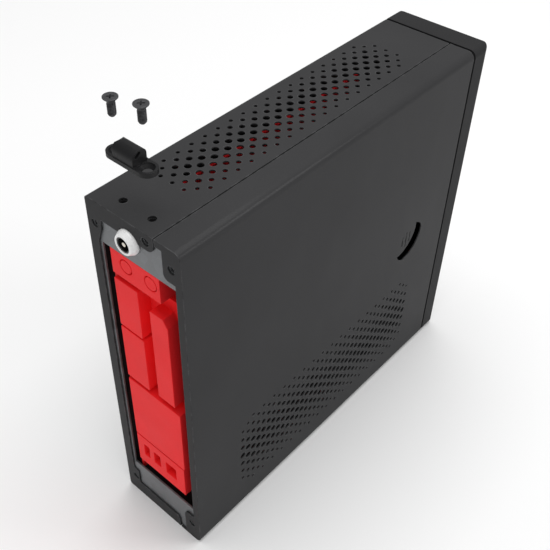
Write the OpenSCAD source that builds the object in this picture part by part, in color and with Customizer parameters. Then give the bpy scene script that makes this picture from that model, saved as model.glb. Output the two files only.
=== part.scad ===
// Slim upright nas enclosure: a folded steel case for a 170 mm square board, with two
// 2.5 inch drives inside and a screw-on cable hook that is lifted off its seat.
// +Y is the rear with the connectors, +X is the board tray, -X is the sliding cover.
// The origin is under the middle of the case and its power inlet nut, at the base.

/* [Case] */
// Width over both covers
case_w = 56; // [54:0.5:62]
// Height over both covers
case_h = 207; // [204:0.5:220]
// Depth from the rear flanges to the face of the bezel
case_d = 222.5; // [218:0.5:240]
// Thickness of the folded covers
sheet = 0.8; // [0.6:0.1:1]
// Thickness of the tray, the rear panel and the front wall
chassis_t = 1; // [0.8:0.1:1.2]
// Outer bend radius of the sliding cover
bend_r = 4; // [3:0.5:6]
// Outer bend radius of the fixed cover
tight_r = 1.5; // [1.2:0.1:2.5]
// Place of the seam between the two covers, across the width
seam_x = -13; // [-14:0.5:-12]
// Open gap at the seam
seam_gap = 0.6; // [0.4:0.1:0.8]

/* [Bezel] */
// Depth of the front bezel
bezel_d = 12.5; // [12:0.5:14]
// Width of the shadow gap between covers and bezel
bezel_gap = 1.6; // [1.2:0.1:2]
// Wall of the moulded bezel
bezel_wall = 2.4; // [2:0.1:3]
// Radius of the power button
button_r = 7; // [5:0.5:8]
// Travel of the power button
button_travel = 1.2; // [0.8:0.1:1.4]

/* [Perforation] */
// Smallest hole radius on the top
top_hole_min = 1; // [0.8:0.05:1.2]
// Growth of the top hole radius with each ring inwards
top_hole_step = 0.25; // [0.1:0.01:0.3]
// Smallest hole radius on the side
side_hole_min = 1; // [0.7:0.05:1.1]
// Growth of the side hole radius with each ring inwards
side_hole_step = 0.28; // [0.1:0.01:0.3]

/* [Rear panel] */
// Height of the middle of the power inlet
jack_z = 196.5; // [195.5:0.1:197]
// Place of the power inlet across the width
jack_x = 2.5; // [2:0.1:3]
// How far the inlet nut stands out past the rear flanges
jack_reach = 3.2; // [2.5:0.1:4]

/* [Cable hook] */
// Height of the lifted hook above its seat
hook_lift = 22.8; // [15:0.1:30]
// Distance of the hook's screws in from the rear
hook_in = 8.3; // [8:0.1:9]
// Height of the first screw's flat top when it is lifted
screw_a_top = 255.4; // [252:0.1:260]
// Height of the second screw's flat top when it is lifted
screw_b_top = 259.7; // [252:0.1:265]

/* [Hidden] */
$fn = 48;

// Planes of the case
rear_y = (case_d - jack_reach) / 2;
front_y = rear_y - case_d;
half_w = case_w / 2;
inner_w = half_w - sheet;
cover_d = case_d - bezel_d - bezel_gap;
slip = 0.2;                    // clearance between the covers and what they enclose
touch = 0.05;                  // clearance between faces that meet across a joint
tray_x = inner_w - slip;       // outer face of the board tray
tray_in_x = tray_x - chassis_t;
floor_z = sheet + 2 * slip;    // lower edge of the rear panel and the front wall
roof_z = case_h - floor_z;
base_z = 2 * sheet + slip + 0.3; // underside of the tray's base, clear of the seam lip
panel_d = sheet + 0.1;         // outer face of the rear panel, in from the rear
panel_in_d = panel_d + chassis_t;
wall_d = cover_d - 1;          // outer face of the front wall, in from the rear
wall_in_d = wall_d - chassis_t;

// Board, with its connector edge at the rear
board = 170;
board_t = 1.6;
standoff_h = 7.6;
board_back_x = tray_in_x - standoff_h;
board_x = board_back_x - board_t;
board_d = 3;
board_z = 23.2;
board_top = board_z + board;
// Board holes: distance down from the top edge, distance in from the rear edge
board_holes = [[6.35, 10.16], [163.83, 33.02], [6.35, 165.1], [163.83, 165.1]];
port_d = 1;

// Standard connector aperture
io_w = 44.45;
io_h = 158.75;
io_x = 21.3;
io_z = 26.4;

// Screw holes of the covers on the rear panel: across, up
cover_screw_places = [[23.4, 194.5], [-8, 202.5], [21.4, 12.8]];
tab_screw_places = [[-22.2, 196.2], [-22.2, 12.9]];
cover_screw_r = 2.05;
pilot_r = 1.35;

// Cable hook
hook_xs = [13.4, -3.8];
hook_r = 4.4;
hook_t = 2;
hook_block_x = [-0.5, 11.2];
hook_block_d = [4.2, 11.4];
hook_block_h = 6.4;
hook_z = case_h + hook_lift;
screw_r = 1.75;
screw_head_r = 3.1;
screw_rim = 0.5;
screw_cone = 1.35;
screw_len = 8.4;

// Thumb grip
grip_d = 168.9;
grip_z = 107.2;
grip_r = 15;                   // both long sides of the crescent
grip_end_r = 12.2;             // its two blunt ends
grip_thick = 9;
grip_turn = 43;

// Power inlet
nut_r = 6;
nut_front_r = 4.7;
jack_collar_r = 3.8;

// Drives
drive_w = 69.85;
drive_l = 100;
drive_t = 9.5;
drive_gap_x = 4.6;
drive_x = -inner_w + drive_gap_x;
drive_d = wall_d - 3 - drive_l;
drive_zs = [32, 115];
plate_t = 1;
plate_x = drive_x + drive_t;

// Fan
fan_size = 40;
fan_d = 88;
fan_z = 112;
heatsink_h = 13;
fan_t = 10;
fan_x = board_x - 1 - heatsink_h;

// Front panel pieces
button_x = 0;
button_z = 172;
pipe_r = 1.5;
pipe_zs = [150, 143];
button_board_d = wall_d - 8;

paint = [0.16, 0.16, 0.165];
zinc = [0.62, 0.63, 0.65];
plastic = [0.08, 0.08, 0.085];
red = [0.8, 0.12, 0.14];
brass = [0.78, 0.62, 0.3];
steel = [0.6, 0.6, 0.62];

// Y of a place that lies d in from the rear flanges
function ry(d) = rear_y - d;

// Extrudes an outline drawn in X and Z, from d0 to d1 in from the rear
module deep(d0, d1)
    translate([0, ry(d0), 0])
        rotate([90, 0, 0])
            linear_extrude(d1 - d0)
                children();

// A cylinder along Y, from d0 to d1 in from the rear
module rod(x, z, r, d0, d1)
    deep(d0, d1)
        translate([x, z])
            circle(r);

// A box between two corners, given as x, depth in from the rear, z
module block(x, d, z)
    translate([min(x), ry(max(d)), min(z)])
        cube([abs(x[1] - x[0]), abs(d[1] - d[0]), abs(z[1] - z[0])]);

// Removes a square corner and leaves a round one of radius r
module corner_cut(r)
    difference() {
        translate([-1, -1])
            square(r + 1);
        translate([r, r])
            circle(r);
    }

// Outline of the case across its depth, moved inwards by inset
module case_section(inset = 0) {
    w = half_w - inset;
    wide = max(bend_r - inset, 0.4);
    tight = max(tight_r - inset, 0.4);
    difference() {
        translate([-w, inset])
            square([2 * w, case_h - 2 * inset]);
        for (end = [0, 1])
            translate([0, end * case_h])
                mirror([0, end]) {
                    translate([-w, inset])
                        corner_cut(wide);
                    translate([w, inset])
                        mirror([1, 0])
                            corner_cut(tight);
                }
    }
}

// Everything on one side of the seam: side is 1 for the fixed cover, -1 for the sliding one
module seam_side(side)
    translate([seam_x + side * seam_gap / 2 + (side < 0 ? -case_w : 0), -1])
        square([case_w, case_h + 2]);

// The folded wall of one cover
module cover_wall(side)
    deep(0, cover_d)
        intersection() {
            difference() {
                case_section();
                case_section(sheet);
            }
            seam_side(side);
        }

// Outline of the fixed cover's rear flanges
module fixed_flange_outline() {
    seam_end = seam_x + seam_gap / 2;
    edge = half_w - 5.4;
    translate([seam_end + 4, case_h - 8.6])
        square([half_w - seam_end, 8.6]);
    translate([seam_end, case_h - 4.6])
        square([5, 5]);
    translate([seam_end + 4, case_h - 4.6])
        circle(4);
    translate([edge, 0])
        square([5.4, case_h]);
    polygon([[half_w, 0], [seam_end, 0], [seam_end, 6], [seam_end + 1.4, 9], [half_w, 9]]);
    polygon([[half_w, 184], [edge, 185], [half_w - 6.8, 189], [half_w - 8.4, 193],
             [half_w - 9, 199], [half_w, 199]]);
    polygon([[half_w, 22], [edge, 21.4], [half_w - 6.6, 19.6], [half_w - 8.6, 19.3],
             [half_w - 9.3, 17.5], [half_w - 9.3, 8], [half_w, 8]]);
}

// Outline of the sliding cover's rear flange and its two screw tabs
module sliding_flange_outline() {
    translate([-half_w, 0])
        square([4, case_h]);
    translate([-half_w, case_h - 3.6])
        square([half_w + seam_x - seam_gap / 2, 3.6]);
    translate([-half_w, 0])
        tab_outline(20.6);
    translate([-half_w, case_h])
        mirror([0, 1])
            tab_outline(18.1);
}

// A screw tab with one round corner
module tab_outline(height) {
    width = 10.7;
    corner_r = 3;
    square([width, height - corner_r]);
    square([width - corner_r, height]);
    translate([width - corner_r, height - corner_r])
        circle(corner_r);
}

// Ring number of a hole in the top pattern, counted inwards from its outline
top_rows = 36;
function top_first(i) = max(abs(i) - 2, 0);
function top_last(i) = top_rows - top_first(i);
function top_ring(i, j) = min(4 - abs(i), j - top_first(i), top_last(i) - j, 3);

// Staggered holes over the board, largest along the middle
module top_holes() {
    pitch_x = 3.48;
    pitch_d = 4.18;
    for (i = [-4 : 4], j = [0 : top_rows])
        if ((i + j + 10) % 2 == 0 && j >= top_first(i) && j <= top_last(i))
            translate([7.3 + i * pitch_x, ry(29.8 + j * pitch_d), case_h - 3])
                cylinder(r = top_hole_min + top_hole_step * top_ring(i, j), h = 6, $fn = 24);
}

// Ring number of a hole in the side pattern
side_columns = 36;
side_rows = 16;
function side_ring(k, j) = min(j, side_rows - j, k + j - 2, side_columns - k + j - 2,
                               k + 14 - j, side_columns - k + 14 - j, 12) / 2;

// Staggered holes low on the sliding cover
module side_holes() {
    pitch_d = 4.02;
    pitch_z = 3.39;
    for (k = [0 : side_columns], j = [0 : side_rows])
        if ((k + j) % 2 == 0 && side_ring(k, j) >= 0)
            translate([-half_w - 3, ry(33.8 + k * pitch_d), 17.1 + j * pitch_z])
                rotate([0, 90, 0])
                    cylinder(r = side_hole_min + side_hole_step * min(side_ring(k, j), 3),
                             h = 6, $fn = 24);
}

// Fixed cover: tray side, most of the top and of the base, and the rear flanges
module left_cover()
    color(paint)
        difference() {
            union() {
                cover_wall(1);
                deep(0, sheet)
                    intersection() {
                        case_section();
                        seam_side(1);
                        fixed_flange_outline();
                    }
                for (end = [0, 1])
                    translate([0, 0, end * case_h])
                        mirror([0, 0, end])
                            seam_lip();
            }
            top_holes();
            for (x = hook_xs)
                translate([x, ry(hook_in), case_h - 5])
                    cylinder(r = screw_r + 0.15, h = 10);
            for (place = cover_screw_places)
                rod(place[0], place[1], cover_screw_r, -1, 2);
            rod(jack_x, jack_z, nut_r + 0.3, -1, 2);
        }

// Lip along the seam that carries the sliding cover's edge
module seam_lip() {
    lip_d = [sheet + 2, cover_d - 3];
    block([seam_x + seam_gap / 2, seam_x + 3.6], lip_d, [sheet * 2 + slip - 0.3, sheet - 0.1]);
    block([seam_x - 5, seam_x + seam_gap / 2 + 0.1], lip_d,
          [sheet * 2 + slip - 0.3, sheet + touch + 0.05]);
}

// Sliding cover: the perforated side, with its thumb grip and two screw tabs
module right_cover()
    color(paint)
        difference() {
            union() {
                cover_wall(-1);
                deep(0, sheet)
                    intersection() {
                        case_section();
                        seam_side(-1);
                        sliding_flange_outline();
                    }
            }
            side_holes();
            translate([-half_w, ry(grip_d), grip_z]) {
                grip_hole();
                grip_grooves();
            }
            for (place = tab_screw_places)
                rod(place[0], place[1], cover_screw_r, -1, 2);
        }

// The thumb grip's opening: a crescent that points forwards and down, with blunt ends
module grip_hole()
    rotate([grip_turn, 0, 0])
        difference() {
            intersection() {
                grip_disc(0, grip_r);
                grip_disc(-5.6, grip_end_r);
            }
            grip_disc(grip_thick, grip_r);
        }

module grip_disc(y, r)
    translate([-3, y, 0])
        rotate([0, 90, 0])
            cylinder(r = r, h = 6, $fn = 64);

// Three upright grooves beside the opening: place along Y, height, length
module grip_grooves() {
    groove_w = 0.8;
    groove_depth = 0.5;
    for (groove = [[-3.1, -2.8, 7.2], [0.2, -5.2, 10.8], [3.5, -3.2, 7]])
        translate([-1, groove[0] - groove_w / 2, groove[1]])
            cube([1 + groove_depth, groove_w, groove[2]]);
}

// Outline of the rear panel, with its aperture and holes
module rear_panel_outline()
    difference() {
        translate([-tray_x, floor_z])
            square([2 * tray_x, roof_z - floor_z]);
        translate([io_x - io_w, io_z])
            square([io_w, io_h]);
        translate([jack_x, jack_z])
            circle(jack_collar_r + 0.1);
        for (place = concat(cover_screw_places, tab_screw_places))
            translate(place)
                circle(pilot_r);
    }

// Keeps its children inside the covers
module trimmed()
    intersection() {
        children();
        deep(0, case_d)
            case_section(sheet + slip);
    }

// Board tray: one side, the base and a top flange that holds the hook's screws
module board_tray() {
    inside = [panel_in_d, wall_in_d];
    color(paint)
        difference() {
            trimmed() {
                block([tray_in_x, tray_x], inside, [base_z, roof_z]);
                block([-tray_x, tray_x], inside, [base_z, base_z + chassis_t]);
                block([tray_x - 4, tray_x], inside, [roof_z - chassis_t, roof_z]);
                block([-8, tray_x], [panel_in_d, 15], [roof_z - chassis_t, roof_z]);
                for (x = hook_xs)
                    translate([x, ry(hook_in), roof_z - chassis_t - 2.5])
                        cylinder(r = 2.9, h = 2.6);
            }
            for (x = hook_xs)
                translate([x, ry(hook_in), roof_z - 6])
                    cylinder(r = screw_r + 0.1, h = 10);
            for (hole = board_holes)
                translate([tray_in_x - 2, ry(board_d + hole[1]), board_top - hole[0]])
                    rotate([0, 90, 0])
                        cylinder(r = 2, h = 6);
        }
}

// Galvanised rear panel with the connector aperture
module rear_panel()
    color(zinc)
        trimmed()
            deep(panel_d, panel_in_d)
                rear_panel_outline();

// Galvanised front wall that the bezel and the drive bracket are fixed to
module front_wall()
    color(zinc)
        difference() {
            trimmed()
                block([-tray_x, tray_x], [wall_in_d, wall_d], [floor_z, roof_z]);
            rod(button_x, button_z, 2.6, wall_d - 3, wall_d + 3);
            for (z = pipe_zs)
                rod(button_x, z, pipe_r + 0.3, wall_d - 3, wall_d + 3);
            for (side = [-1, 1], z = [20, case_h - 20])
                rod(side * 18, z, 2.4, wall_d - 3, wall_d + 3);
            for (z = bracket_foot_zs)
                rod(plate_x + 6, z, 1.3, wall_d - 3, wall_d + 3);
        }

// Front bezel: a hollow moulded cap on a narrower neck, held by four split pegs
module front_bezel() {
    front_d = case_d;
    back_d = case_d - bezel_d;
    edge = 3;
    color(plastic)
        difference() {
            union() {
                intersection() {
                    deep(back_d, front_d)
                        case_section();
                    linear_extrude(case_h)
                        plan_outline(edge);
                }
                deep(wall_d + touch, back_d + 1)
                    case_section(2.6);
                for (side = [-1, 1], z = [20, case_h - 20])
                    rod(side * 18, z, 2.2, wall_d - 3, back_d + 1);
            }
            deep(wall_d - 1, front_d - bezel_wall)
                difference() {
                    case_section(5);
                    for (side = [-1, 1], z = [20, case_h - 20])
                        translate([side * 18, z])
                            circle(4);
                    for (z = pipe_zs)
                        translate([button_x, z])
                            circle(3.2);
                    translate([button_x, button_z])
                        circle(button_r + 2.2);
                }
            rod(button_x, button_z, button_r + 0.08, wall_d - 4, front_d + 1);
            for (z = pipe_zs)
                rod(button_x, z, pipe_r + 0.02, wall_d - 4, front_d + 1);
        }
}

// Plan of the bezel: its two front edges are rounded
module plan_outline(r)
    translate([0, front_y])
        difference() {
            translate([-half_w - 1, 0])
                square([case_w + 2, case_d]);
            for (side = [0, 1])
                mirror([side, 0])
                    translate([-half_w, 0])
                        corner_cut(r);
        }

// Round push button with a stem that reaches its switch
module power_button()
    color(steel) {
        rod(button_x, button_z, button_r, case_d - 6, case_d - 0.2);
        rod(button_x, button_z, 2.2, button_board_d + 5 + button_travel + touch, case_d - 5);
    }

// Small board behind the front wall with the switch and the two lamps
module button_board()
    color([0.06, 0.3, 0.14]) {
        block([button_x - 9, button_x + 9], [button_board_d - 1.2, button_board_d], [136, 184]);
        block([button_x - 3, button_x + 3], [button_board_d - 0.1, button_board_d + 3.8],
              [button_z - 3, button_z + 3]);
        rod(button_x, button_z, 1.7, button_board_d + 3.7, button_board_d + 5);
        for (z = pipe_zs)
            rod(button_x, z, 1.4, button_board_d - 0.1, button_board_d + 3);
        for (z = [138.5, 181.5])
            rod(button_x + 5.5, z, 2, button_board_d - 0.1, wall_in_d);
    }

// Clear rod that carries one lamp's light to the front
module light_pipe(z)
    color([0.8, 0.88, 0.95])
        rod(button_x, z, pipe_r, button_board_d + 3.1, case_d - 0.1);

module power_light_pipe()
    light_pipe(pipe_zs[0]);

module drive_light_pipe()
    light_pipe(pipe_zs[1]);

// Cable hook: a flat foot with two countersunk holes and a raised block with a slanted eye
module cable_hook()
    color(plastic)
        difference() {
            union() {
                for (x = hook_xs)
                    translate([x, ry(hook_in), hook_z])
                        cylinder(r = hook_r, h = hook_t);
                block(hook_xs, [hook_in - hook_r, hook_in + hook_r], [hook_z, hook_z + hook_t]);
                hook_block();
            }
            hook_eye();
            for (x = hook_xs)
                translate([x, ry(hook_in), hook_z]) {
                    translate([0, 0, -1])
                        cylinder(r = screw_r + 0.2, h = hook_t + 2);
                    translate([0, 0, hook_t - screw_rim - screw_cone])
                        cylinder(r1 = screw_r + 0.1, r2 = screw_head_r + 0.1, h = screw_cone);
                    translate([0, 0, hook_t - screw_rim - 0.001])
                        cylinder(r = screw_head_r + 0.1, h = hook_block_h + 2);
                }
        }

// The raised block, with a round shoulder on each side
module hook_block() {
    rear_shoulder = 4;
    front_shoulder = 2.6;
    depth = hook_block_d[1] - hook_block_d[0];
    top = hook_t + hook_block_h;
    translate([hook_block_x[0], ry(hook_block_d[0]), hook_z])
        rotate([90, 0, 90])
            linear_extrude(hook_block_x[1] - hook_block_x[0])
                mirror([1, 0])
                    difference() {
                        square([depth, top]);
                        translate([depth, top])
                            rotate(180)
                                corner_cut(front_shoulder);
                        translate([0, top])
                            mirror([0, 1])
                                corner_cut(rear_shoulder);
                    }
}

// The eye along X through the block, a slot that rises towards the front
module hook_eye() {
    eye_r = 0.7;
    span = 1.8;
    length = hook_block_x[1] - hook_block_x[0] + 2;
    translate([hook_block_x[0] - 1, ry(7), hook_z + hook_t + 4.5])
        rotate([-37, 0, 0]) {
            for (i = [-1, 1])
                translate([0, i * span / 2, 0])
                    rotate([0, 90, 0])
                        cylinder(r = eye_r, h = length);
            translate([0, -span / 2, -eye_r])
                cube([length, span, 2 * eye_r]);
        }
}

// Countersunk screw with a cross recess, its flat top at height top_z
module hook_screw(x, top_z)
    color([0.2, 0.2, 0.21])
        translate([x, ry(hook_in), top_z])
            difference() {
                rotate_extrude()
                    polygon([[0, 0], [screw_head_r, 0], [screw_head_r, -screw_rim],
                             [screw_r, -screw_rim - screw_cone], [screw_r, 0.5 - screw_len],
                             [screw_r - 0.5, -screw_len], [0, -screw_len]]);
                for (turn = [45, 135])
                    rotate(turn)
                        translate([-1.7, -0.3, -1])
                            cube([3.4, 0.6, 2]);
            }

module hook_screw_a()
    hook_screw(hook_xs[0], screw_a_top);

module hook_screw_b()
    hook_screw(hook_xs[1], screw_b_top);

// Power inlet: the moulded socket, its collar in the panel, its pin and its nut
module jack_body()
    color(plastic)
        difference() {
            union() {
                rod(jack_x, jack_z, 5.6, panel_in_d, panel_in_d + 1.2);
                rod(jack_x, jack_z, jack_collar_r, 0.5 - jack_reach, panel_in_d + 1.2);
                block([jack_x - 4.2, jack_x + 4.2], [panel_in_d + 1, 14],
                      [jack_z - 4.2, jack_z + 4.2]);
            }
            rod(jack_x, jack_z, 3.1, -jack_reach - 1, 11);
        }

module jack_pin()
    color(brass)
        rod(jack_x, jack_z, 1.05, 0.8 - jack_reach, 11);

module jack_nut() {
    rim_d = -0.6;
    color([0.92, 0.92, 0.93])
        difference() {
            union() {
                rod(jack_x, jack_z, nut_r, rim_d, panel_d);
                translate([jack_x, ry(rim_d), jack_z])
                    rotate([-90, 0, 0])
                        cylinder(r1 = nut_r, r2 = nut_front_r, h = jack_reach + rim_d);
            }
            rod(jack_x, jack_z, jack_collar_r, -jack_reach - 1, panel_d + 1);
        }
}

// The board, drilled for its four screws
module mainboard()
    color(red)
        difference() {
            block([board_x, board_back_x], [board_d, board_d + board], [board_z, board_top]);
            board_hole_places()
                cylinder(r = 1.95, h = 30, center = true);
        }

// Puts its child at each board hole, pointing along -X
module board_hole_places()
    for (hole = board_holes)
        translate([board_x, ry(board_d + hole[1]), board_top - hole[0]])
            rotate([0, -90, 0])
                children();

// Two round sockets in one tall housing
module ps2_ports() {
    socket_r = 3.9;
    color(red)
        difference() {
            block([-13, board_x], [port_d, port_d + 9], [170.8, 184.9]);
            for (x = [7.6, -7.5])
                difference() {
                    rod(x, 178.8, socket_r, port_d - 1, port_d + 5);
                    rod(x, 178.8, socket_r - 0.6, port_d - 2, port_d + 6);
                }
        }
}

// A short socket that stands out of the shared housing
module small_port(x_end, z)
    color(red)
        block([x_end, board_x], [port_d, port_housing_d], z);

port_housing_d = 8;

module serial_port()
    small_port(2.1, [138.4, 167.6]);

module vga_port()
    small_port(1.6, [102.8, 137.2]);

// The long socket, with bevelled ends, and the housing behind all three sockets
module parallel_port()
    color(red) {
        deep(port_d, port_housing_d + 1)
            polygon([[-4.9, 104.4], [-15.6, 104.4], [-15.6, 157], [-13, 161.3], [-4.9, 161.3]]);
        block([-15.6, board_x], [port_housing_d, port_housing_d + 10], [102.8, 167.6]);
    }

// The tall block of network and usb sockets
module lan_usb_ports()
    color(red)
        block([-18.7, board_x], [port_d, port_d + 21], [57, 100.5]);

// Three small sockets in one tall housing
module audio_ports()
    color(red)
        difference() {
            block([-18, board_x], [port_d, port_d + 13], [34, 56.2]);
            for (x = [[8, 12], [-0.2, 4.6], [-11.8, -4.4]])
                block(x, [port_d - 1, port_d + 6], [41.5, 50.4]);
        }

// Four hexagonal standoffs, pressed into the tray
module board_standoffs()
    color(brass)
        for (hole = board_holes)
            translate([board_back_x, ry(board_d + hole[1]), board_top - hole[0]])
                rotate([0, 90, 0])
                    difference() {
                        union() {
                            cylinder(r = 3, h = standoff_h, $fn = 6);
                            cylinder(r = 2, h = standoff_h + chassis_t);
                        }
                        translate([0, 0, -1])
                            cylinder(r = 1.5, h = 6);
                    }

// Four round-head screws that hold the board
module board_screws()
    color(steel)
        board_hole_places() {
            cylinder(r = 2.8, h = 1.8);
            translate([0, 0, -board_t - 4])
                cylinder(r = 1.45, h = board_t + 4.5);
        }

// Finned block on the processor
module processor_heatsink() {
    fins = 12;
    fin_t = 1;
    size = fan_size + 4;
    pitch = (size - fin_t) / (fins - 1);
    color([0.35, 0.36, 0.38])
        translate([fan_x, ry(fan_d) - size / 2, fan_z - size / 2]) {
            translate([heatsink_h - 3, 0, 0])
                cube([3, size, size]);
            for (i = [0 : fins - 1])
                translate([0, 0, i * pitch])
                    cube([heatsink_h - 2.9, size, fin_t]);
            translate([heatsink_h - 0.1, size / 2 - 12, size / 2 - 12])
                cube([1.1, 24, 24]);
        }
}

// Square frame of the processor fan, with four spokes that hold its hub
module fan_frame()
    color(plastic)
        translate([fan_x - fan_t, ry(fan_d), fan_z])
            rotate([0, 90, 0])
                difference() {
                    union() {
                        difference() {
                            translate([-fan_size / 2, -fan_size / 2, 0])
                                cube([fan_size, fan_size, fan_t]);
                            translate([0, 0, -1])
                                cylinder(r = fan_size / 2 - 1.2, h = fan_t + 2, $fn = 64);
                        }
                        for (turn = [0, 90])
                            rotate(turn)
                                translate([-fan_size / 2 + 0.5, -1, fan_t - 1.5])
                                    cube([fan_size - 1, 2, 1.5]);
                        translate([0, 0, fan_t - 1.5])
                            cylinder(r = 8, h = 1.5);
                        translate([0, 0, 2])
                            cylinder(r = 1.5, h = fan_t - 3);
                    }
                    for (x = [-16, 16], y = [-16, 16])
                        translate([x, y, -1])
                            cylinder(r = 1.6, h = fan_t + 2);
                }

// Seven blades on a cup that turns on the frame's stub
module fan_rotor() {
    blades = 7;
    color([0.12, 0.12, 0.13])
        translate([fan_x - fan_t, ry(fan_d), fan_z])
            rotate([0, 90, 0]) {
                difference() {
                    cylinder(r = 9, h = fan_t - 2.2);
                    translate([0, 0, 1.5])
                        cylinder(r = 1.56, h = fan_t);
                    translate([0, 0, 3])
                        difference() {
                            cylinder(r = 8, h = fan_t);
                            translate([0, 0, -1])
                                cylinder(r = 3.5, h = fan_t);
                        }
                }
                for (i = [0 : blades - 1])
                    rotate(i * 360 / blades)
                        translate([8.6, 0, 3.8])
                            rotate([38, 0, 0])
                                translate([0, -4.2, -0.4])
                                    cube([8.4, 8.4, 0.8]);
            }
}

// Socket and module of the memory, standing off the board near its front edge
module memory_slot()
    color([0.1, 0.1, 0.11])
        difference() {
            block([board_x - 6, board_x], [152, 159], [50, 186]);
            block([board_x - 7, board_x - 2], [154.8, 156.2], [53, 183]);
        }

module memory_module()
    color([0.05, 0.26, 0.12]) {
        block([board_x - 26, board_x - 2], [154.9, 156.1], [53.1, 182.9]);
        for (i = [0 : 7])
            block([board_x - 22, board_x - 12], [153.9, 157.1], [57 + i * 15.8, 66 + i * 15.8]);
    }

// Heights of the bracket's screws on the front wall
bracket_foot_zs = [42, 88, 158];

// Plate that carries both drives, with a foot along the front wall
module drive_bracket()
    color(zinc)
        difference() {
            union() {
                block([plate_x, plate_x + plate_t], [drive_d - 2, wall_in_d],
                      [drive_zs[0] - 6, drive_zs[1] + drive_w + 6]);
                block([plate_x, plate_x + 10], [wall_in_d - plate_t, wall_in_d],
                      [drive_zs[0] - 6, drive_zs[1] + drive_w - 38]);
            }
            for (z = drive_zs, place = drive_hole_places(z))
                translate([plate_x - 1, ry(place[0]), place[1]])
                    rotate([0, 90, 0])
                        cylinder(r = 1.7, h = 3);
            for (z = bracket_foot_zs)
                rod(plate_x + 6, z, 1.7, wall_d - 5, wall_d + 1);
            for (z = drive_zs)
                translate([plate_x - 1, ry(drive_d + drive_l / 2), z + drive_w / 2])
                    rotate([0, 90, 0])
                        cylinder(r = 14, h = 3);
        }

// Places of a drive's four bottom holes: in from the rear, up
function drive_hole_places(z) = [for (along = [14, 90.6], up = [4.07, 65.79])
                                 [drive_d + along, z + up]];

module bracket_screws()
    color(steel)
        for (z = bracket_foot_zs) {
            rod(plate_x + 6, z, 2.8, wall_in_d - plate_t - 1.6,
                wall_in_d - plate_t);
            rod(plate_x + 6, z, 1.25, wall_in_d - plate_t - 1, wall_d + 0.6);
        }

// A 2.5 inch drive: its tray, its lid and the step at its connector end
module drive(z) {
    lid = 0.6;
    color([0.3, 0.31, 0.33])
        difference() {
            union() {
                block([drive_x + lid, drive_x + drive_t], [drive_d, drive_d + drive_l],
                      [z, z + drive_w]);
                block([drive_x, drive_x + lid + 0.1], [drive_d + 8, drive_d + drive_l - 3],
                      [z + 2, z + drive_w - 2]);
            }
            block([drive_x + 4, drive_x + drive_t - 1], [drive_d - 1, drive_d + 4],
                  [z + 8, z + 44]);
            for (place = drive_hole_places(z))
                translate([plate_x - 3, ry(place[0]), place[1]])
                    rotate([0, 90, 0])
                        cylinder(r = 1.3, h = 4);
        }
}

module lower_drive()
    drive(drive_zs[0]);

module upper_drive()
    drive(drive_zs[1]);

module drive_screws()
    color(steel)
        for (z = drive_zs, place = drive_hole_places(z))
            translate([plate_x + plate_t, ry(place[0]), place[1]])
                rotate([0, 90, 0]) {
                    cylinder(r = 2.6, h = 1.3);
                    translate([0, 0, -3.4])
                        cylinder(r = 1.25, h = 3.8);
                }

// Routes of the two inner leads: x, in from the rear, height
power_lead_r = 1.6;
power_lead_route = [[jack_x, 14.3, jack_z], [jack_x, 17, jack_z], [4.6, 20, jack_z - 1.5],
                    [8, 22, jack_z - 5], [10.6, 23, jack_z - 10.5],
                    [12, 23.6, jack_z - 16], [board_x - 4, 24, jack_z - 22]];
button_lead_r = 1;
button_lead_route = [[4, button_board_d - 1.5, 140], [4, button_board_d - 4, 140],
                     [6, button_board_d - 8, 137], [9, button_board_d - 14, 133],
                     [12, button_board_d - 20, 130], [14, button_board_d - 26, 129],
                     [15, button_board_d - 32, 129]];

// Point t along a route, smoothed between its points
function route_at(p, t) =
    let (i = min(floor(t), len(p) - 2), u = t - i,
         a = p[max(i - 1, 0)], b = p[i], c = p[i + 1], d = p[min(i + 2, len(p) - 1)])
    0.5 * (2 * b + (c - a) * u + (2 * a - 5 * b + 4 * c - d) * u * u
           + (3 * b - a - 3 * c + d) * u * u * u);
function unit(v) = v / norm(v);

// A tube of eight sides swept along a route
module lead(route, r) {
    sides = 8;
    rings = 3 * (len(route) - 1);
    function place(t) = let (q = route_at(route, t)) [q[0], ry(q[1]), q[2]];
    step = (len(route) - 1) / rings;
    centres = [for (i = [0 : rings]) place(i * step)];
    points = [for (i = [0 : rings])
                  let (along = unit(centres[min(i + 1, rings)] - centres[max(i - 1, 0)]),
                       across = unit(cross(along, [1, 0.2, 0.1])),
                       over = cross(along, across))
                  for (s = [0 : sides - 1])
                      centres[i] + r * (cos(s * 360 / sides) * across
                                        + sin(s * 360 / sides) * over)];
    polyhedron(points,
               concat([[for (s = [0 : sides - 1]) s]],
                      [for (i = [0 : rings - 1], s = [0 : sides - 1])
                           [i * sides + s, (i + 1) * sides + s,
                            (i + 1) * sides + (s + 1) % sides, i * sides + (s + 1) % sides]],
                      [[for (s = [sides - 1 : -1 : 0]) rings * sides + s]]));
}

module power_lead()
    color([0.05, 0.05, 0.05])
        lead(power_lead_route, power_lead_r);

module button_lead()
    color([0.05, 0.05, 0.05])
        lead(button_lead_route, button_lead_r);

left_cover();
right_cover();
board_tray();
rear_panel();
front_wall();
front_bezel();
power_button();
button_board();
power_light_pipe();
drive_light_pipe();
cable_hook();
hook_screw_a();
hook_screw_b();
jack_body();
jack_pin();
jack_nut();
mainboard();
ps2_ports();
serial_port();
vga_port();
parallel_port();
lan_usb_ports();
audio_ports();
board_standoffs();
board_screws();
processor_heatsink();
fan_frame();
fan_rotor();
memory_slot();
memory_module();
drive_bracket();
bracket_screws();
upper_drive();
lower_drive();
drive_screws();
power_lead();
button_lead();
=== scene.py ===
"""Studio model of a slim upright nas enclosure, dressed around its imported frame.

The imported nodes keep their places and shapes: each one is given a finish of its own,
and some are given softened edges. The hook's two screws, whose threads and recesses are
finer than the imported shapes, are built here and stand for their nodes. All lengths are
in metres.
"""

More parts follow.
